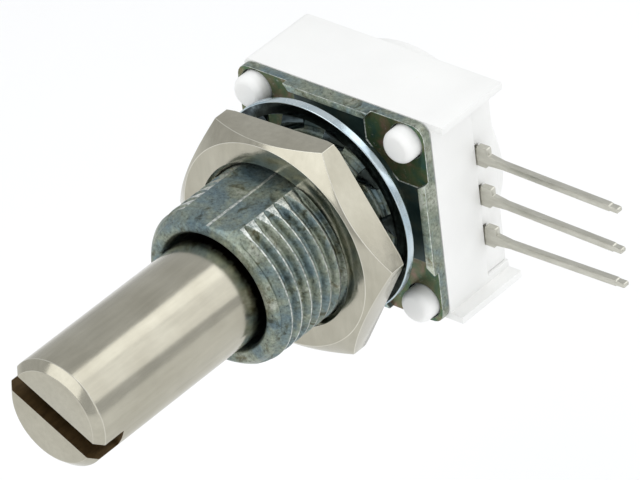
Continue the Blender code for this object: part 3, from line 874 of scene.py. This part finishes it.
def make_washer():
    """The lock washer: a flat ring whose inner teeth twist more the further they reach in."""
    bottom, top = WASHER_LOW.z, WASHER_HIGH.z
    outer = (WASHER_HIGH.x - WASHER_LOW.x) / 2
    middle = Vector(((WASHER_HIGH.x + WASHER_LOW.x) / 2, (WASHER_HIGH.y + WASHER_LOW.y) / 2, 0))
    inner = WASHER_INNER_RADIUS
    section = rounded_loop([(outer, top), (outer, bottom), (inner, bottom), (inner, top)], 0.07, 3)
    washer = raw_object("toothed_lock_washer", lathe(section, 160, closed=True), BLUE_ZINC, SHADED_WASHER_FACE)
    teeth = bmesh.new()
    half_thickness = TOOTH_HALF_THICKNESS
    level = (bottom + top) / 2
    for number in range(TOOTH_COUNT):
        heading = 2 * math.pi * (number + 0.25) / TOOTH_COUNT
        outward = Vector((math.cos(heading), math.sin(heading), 0))
        sideways = Vector((-math.sin(heading), math.cos(heading), 0))
        loops = []
        for station in range(TOOTH_STATIONS):
            share = station / (TOOTH_STATIONS - 1)
            radius = inner + 0.15 - share * 0.82
            twist = TOOTH_TWIST * smooth_step(0.1, 0.9, share)
            half_width = 0.72 - 0.16 * share
            along = sideways * math.cos(twist) + Vector((0, 0, 1)) * math.sin(twist)
            normal = Vector((0, 0, 1)) * math.cos(twist) - sideways * math.sin(twist)
            # A tooth twists upwards only, so that the washer can lie flat on the shoulder.
            lift = half_width * math.sin(twist) + half_thickness * (math.cos(twist) - 1)
            base = outward * radius + Vector((0, 0, level + lift))
            loop = []
            for u, v in ((1, 1), (-1, 1), (-1, -1), (1, -1)):
                loop.append(teeth.verts.new(base + along * half_width * u + normal * half_thickness * v))
            loops.append(loop)
        for before, after in zip(loops, loops[1:]):
            for j in range(4):
                k = (j + 1) % 4
                teeth.faces.new((before[j], before[k], after[k], after[j]))
        teeth.faces.new(loops[0])
        teeth.faces.new(loops[-1][::-1])
    boolean(washer, "UNION", teeth)

    def front_or_tooth(center, normal):
        radius = math.hypot(center.x, center.y)
        return radius < inner or (normal.z > 0.9 and radius < outer - 0.12)

    # The front face and teeth are painted dark as shade under the nut.
    paint(washer, 1, front_or_tooth)
    soften(washer, 0.035, 2, 45, 0)
    washer.data.transform(Matrix.Translation(middle))
    placed(washer, "washer", "lock_washer")


# ---- white mouldings ----

def make_housing():
    """The white box with its two flanges, and the four posts that hold the plate."""
    outline = rounded_rectangle(WIDTH, HEIGHT, 0.45)
    housing = raw_object("moulded_housing", extrusion(outline, HOUSING_BACK, HOUSING_FRONT), WHITE)
    flanges = []
    for side in (-1, 1):
        edges = sorted((side * HEIGHT / 2, side * (HEIGHT / 2 - FLANGE_THICKNESS)))
        low = (WIDTH / 2 - 1.2, edges[0], HOUSING_BACK)
        flanges.append(block(low, (FLANGE_REACH, edges[1], HOUSING_FRONT)))
    boolean(housing, "UNION", *flanges)
    cavity = block((-CAVITY_X, -CAVITY_Y, HOUSING_BACK - 1), (CAVITY_X, CAVITY_Y, CAVITY_FRONT))
    side_gap = block((CAVITY_X - 0.4, -CAVITY_Y, HOUSING_BACK - 1.1), (WIDTH, CAVITY_Y, STEP))
    bore = extrusion(circle(SPIGOT_RADIUS + 0.05), -2.9, 1.0)
    boolean(housing, "DIFFERENCE", cavity, side_gap, bore)
    soften(housing, 0.12, 3, 40)
    placed(housing, "body", "housing")
    for number, (sx, sy) in enumerate(CORNERS):
        profile = rounded([
            (0.0, POST_TOP),
            (STAKED_RADIUS - 0.21, POST_TOP - 0.02),
            (STAKED_RADIUS, POST_TOP - 0.3),
            (STAKED_RADIUS, HOUSING_FRONT - 0.3),
            (0.0, HOUSING_FRONT - 0.3),
        ], 0.16, 5)
        bm = lathe(profile, 64)
        bmesh.ops.translate(bm, vec=(sx * POST_OFFSET, sy * POST_OFFSET, 0), verts=bm.verts)
        post = raw_object(f"staked_post_{number}", bm, WHITE)
        placed(post, "body", "housing")


# Each blade's height, and how far it leans from the tab to the tip.
TERMINALS = {"a": (2.2, -0.19), "common": (-0.36, -0.19), "b": (-2.92, 0.19)}
BLADE_HALF = 0.2
BLADE_ROOT = 3.3
BLADE_NECK = 4.9
BLADE_STEPS = 14
TAB_END = 7.15
SEAT_HALF = 0.62
CARRIER_WALL = (4.95, 5.35)
CARRIER_SHELF = -5.6


def make_carrier():
    """The inner moulding that shows in the sunk part of the terminal side, with a seat for each tab."""
    back = CARRIER_LOW.z
    face = CARRIER_HIGH.z
    edge = CARRIER_HIGH.y
    wall_in, wall_out = CARRIER_WALL
    base = block((CARRIER_LOW.x, -edge, back), (wall_out, edge, CARRIER_SHELF))
    carrier = raw_object("terminal_block", base, WHITE)
    boolean(carrier, "UNION", block((wall_in, -edge, back), (CARRIER_HIGH.x, edge, face)))
    seats = []
    for height, _lean in TERMINALS.values():
        seats.append(block((4.5, height - SEAT_HALF, face - 0.43), (WIDTH, height + SEAT_HALF, 0)))
    boolean(carrier, "DIFFERENCE", *seats)
    soften(carrier, 0.05, 2, 40)
    placed(carrier, "body", "terminal_carrier")


def make_terminal(name, height, lean):
    """A stamped blade with a shouldered tab, leaning a little along its length."""
    node = f"terminal_{name}"
    low, high = node_span(node)
    tip = high.x

    def sag(x):
        return height + lean * max(x - TAB_END, 0.0) / (tip - TAB_END)

    start = TAB_END + 0.9
    end = tip - 0.6
    bar = [start + (end - start) * i / BLADE_STEPS for i in range(BLADE_STEPS + 1)]
    lower = [
        (BLADE_ROOT, -0.4),
        (BLADE_NECK, -0.4),
        (BLADE_NECK, -0.5),
        (TAB_END - 0.2, -0.5),
        (TAB_END - 0.02, -BLADE_HALF - 0.1),
    ]
    lower += [(x, -BLADE_HALF) for x in bar]
    lower += [
        (tip - 0.54, -BLADE_HALF + 0.055),
        (tip - 0.07, -BLADE_HALF + 0.055),
        (tip, -BLADE_HALF + 0.12),
    ]
    upper = [
        (tip, BLADE_HALF - 0.12),
        (tip - 0.07, BLADE_HALF - 0.055),
        (tip - 0.54, BLADE_HALF - 0.055),
    ]
    upper += [(x, BLADE_HALF) for x in reversed(bar)]
    upper += [
        (TAB_END, BLADE_HALF + 0.12),
        (TAB_END, 0.7),
        (TAB_END - 0.08, 0.76),
        (TAB_END - 0.68, 0.74),
        (TAB_END - 0.75, 0.68),
        (TAB_END - 0.75, 0.5),
        (BLADE_NECK, 0.5),
        (BLADE_NECK, 0.4),
        (BLADE_ROOT, 0.4),
    ]
    outline = [(x, sag(x) + y) for x, y in lower + upper]
    blade = raw_object(f"blade_{name}", extrusion(outline, low.z, high.z), TINNED)
    soften(blade, 0.035, 2, 35)
    placed(blade, "body", node)


def make_rear_cover():
    """The round boss on the back, with a shallow gate mark."""
    radius = (COVER_HIGH.x - COVER_LOW.x) / 2
    profile = rounded([
        (0.0, COVER_HIGH.z),
        (radius, COVER_HIGH.z),
        (radius, COVER_LOW.z + 0.12),
        (radius - 0.12, COVER_LOW.z),
        (1.25, COVER_LOW.z),
        (1.0, COVER_LOW.z + 0.2),
        (0.0, COVER_LOW.z + 0.2),
    ], 0.1, 4)
    cover = raw_object("round_rear_cover", lathe(profile, 160), WHITE)
    placed(cover, "body", "rear_cover")


# ---- running parts, which stay as their CAD solids ----

def dress_running_parts():
    """Gives each running part's CAD solid its material."""
    spring_steel = plain_metal("spring_steel", (0.30, 0.31, 0.33), (0.44, 0.45, 0.47), 0.32)
    bronze = plain_metal("spring_bronze", (0.55, 0.36, 0.18), (0.70, 0.50, 0.29), 0.33)
    gilt = plain_metal("gilt_brass", (0.74, 0.55, 0.24), (0.85, 0.68, 0.36), 0.25)
    ball_steel = plain_metal("ball_steel", (0.62, 0.63, 0.66), (0.74, 0.75, 0.77), 0.12)
    black = plain_plastic("rotor_plastic", (0.035, 0.035, 0.04), (0.07, 0.07, 0.075), 0.45)
    natural = plain_plastic("acetal", (0.74, 0.69, 0.58), (0.83, 0.79, 0.69), 0.42)
    finishes = {
        "wave_washer": spring_steel,
        "retaining_ring": spring_steel,
        "detent_wheel": spring_steel,
        "detent_ball": ball_steel,
        "detent_spring": bronze,
        "wiper_a": bronze,
        "wiper_b": bronze,
        "wiper_common": bronze,
        "code_disc": gilt,
        "rotor": black,
        "thrust_washer": natural,
    }
    for node, material in finishes.items():
        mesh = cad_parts[node].data
        mesh.materials.clear()
        mesh.materials.append(material)


# ---- stage, light and camera ----

FLOOR_DROP = 0.03
AIM = Vector((0.0, -0.006, 0.0))


def make_floor():
    """White paper, well below the object."""
    bm = bmesh.new()
    bmesh.ops.create_grid(bm, x_segments=8, y_segments=8, size=1.5)
    mesh = bpy.data.meshes.new("floor")
    bm.to_mesh(mesh)
    bm.free()
    floor = bpy.data.objects.new("floor", mesh)
    floor.location.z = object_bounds()[0][2] - FLOOR_DROP
    bpy.context.scene.collection.objects.link(floor)
    g = Graph("floor_paper")
    color = g.ramp(g.noise(0.02, 2), (0.3, (0.95, 0.95, 0.95)), (0.7, (0.97, 0.97, 0.97)))
    floor.data.materials.append(g.finish(color, 0.9, 0.0, Specular_IOR_Level=0.1))


def softbox(name, direction, distance, width, height, radiance, side):
    """A rectangular light that faces the object, with its height turned towards a given side."""
    toward = Vector(direction).normalized()
    across = Vector(side).cross(toward).normalized()
    up = toward.cross(across)
    light = bpy.data.lights.new(name, "AREA")
    light.shape = "RECTANGLE"
    light.size = width
    light.size_y = height
    light.energy = radiance * math.pi * width * height
    lamp = bpy.data.objects.new(name, light)
    lamp.matrix_world = Matrix.Translation(AIM + toward * distance) @ Matrix((
        (across.x, up.x, toward.x, 0),
        (across.y, up.y, toward.y, 0),
        (across.z, up.z, toward.z, 0),
        (0, 0, 0, 1),
    ))
    lamp.visible_camera = False
    bpy.context.scene.collection.objects.link(lamp)
    return lamp


def make_light():
    """An even white room, with softboxes whose reflections run along the shaft."""
    world = bpy.data.worlds.new("studio")
    bpy.context.scene.world = world
    world.use_nodes = True
    background = world.node_tree.nodes["Background"]
    background.inputs["Color"].default_value = (0.97, 0.985, 1.0, 1.0)
    background.inputs["Strength"].default_value = 0.72
    along_shaft = (0, 1, 0)
    softbox("key", (0.514, 0.60, 0.613), 0.30, 0.33, 0.34, 0.80, along_shaft)
    softbox("key_edge", (0.247, 0.60, 0.761), 0.30, 0.11, 0.34, 0.40, along_shaft)
    softbox("front", (-0.10, -0.74, 0.66), 0.30, 0.34, 0.32, 1.2, (1, 0, 0))
    softbox("side", (0.86, -0.46, 0.22), 0.30, 0.18, 0.20, 0.8, (0, 0, 1))


def make_camera():
    """A view from the right, in front and above, with a long lens."""
    right = Vector((0.76960, 0.63019, -0.10279))
    down = Vector((0.29349, -0.49210, -0.81958))
    ahead = Vector((-0.56707, 0.60058, -0.56368))
    position = Vector((0.183205, -0.194936, 0.180307))
    camera = bpy.data.cameras.new("camera")
    camera.sensor_width = 36.0
    camera.lens = 342.4
    camera.clip_start = 0.01
    camera.clip_end = 20.0
    obj = bpy.data.objects.new("camera", camera)
    obj.matrix_world = Matrix((
        (right.x, -down.x, -ahead.x, position.x),
        (right.y, -down.y, -ahead.y, position.y),
        (right.z, -down.z, -ahead.z, position.z),
        (0, 0, 0, 1),
    ))
    bpy.context.scene.collection.objects.link(obj)
    bpy.context.scene.camera = obj
    bpy.context.scene.view_settings.view_transform = "Standard"


make_camera()
make_shaft()
make_barrel()
make_plate()
make_nut()
make_washer()
make_housing()
make_carrier()
for terminal, (blade_height, blade_lean) in TERMINALS.items():
    make_terminal(terminal, blade_height, blade_lean)
make_rear_cover()
dress_running_parts()
make_light()
make_floor()
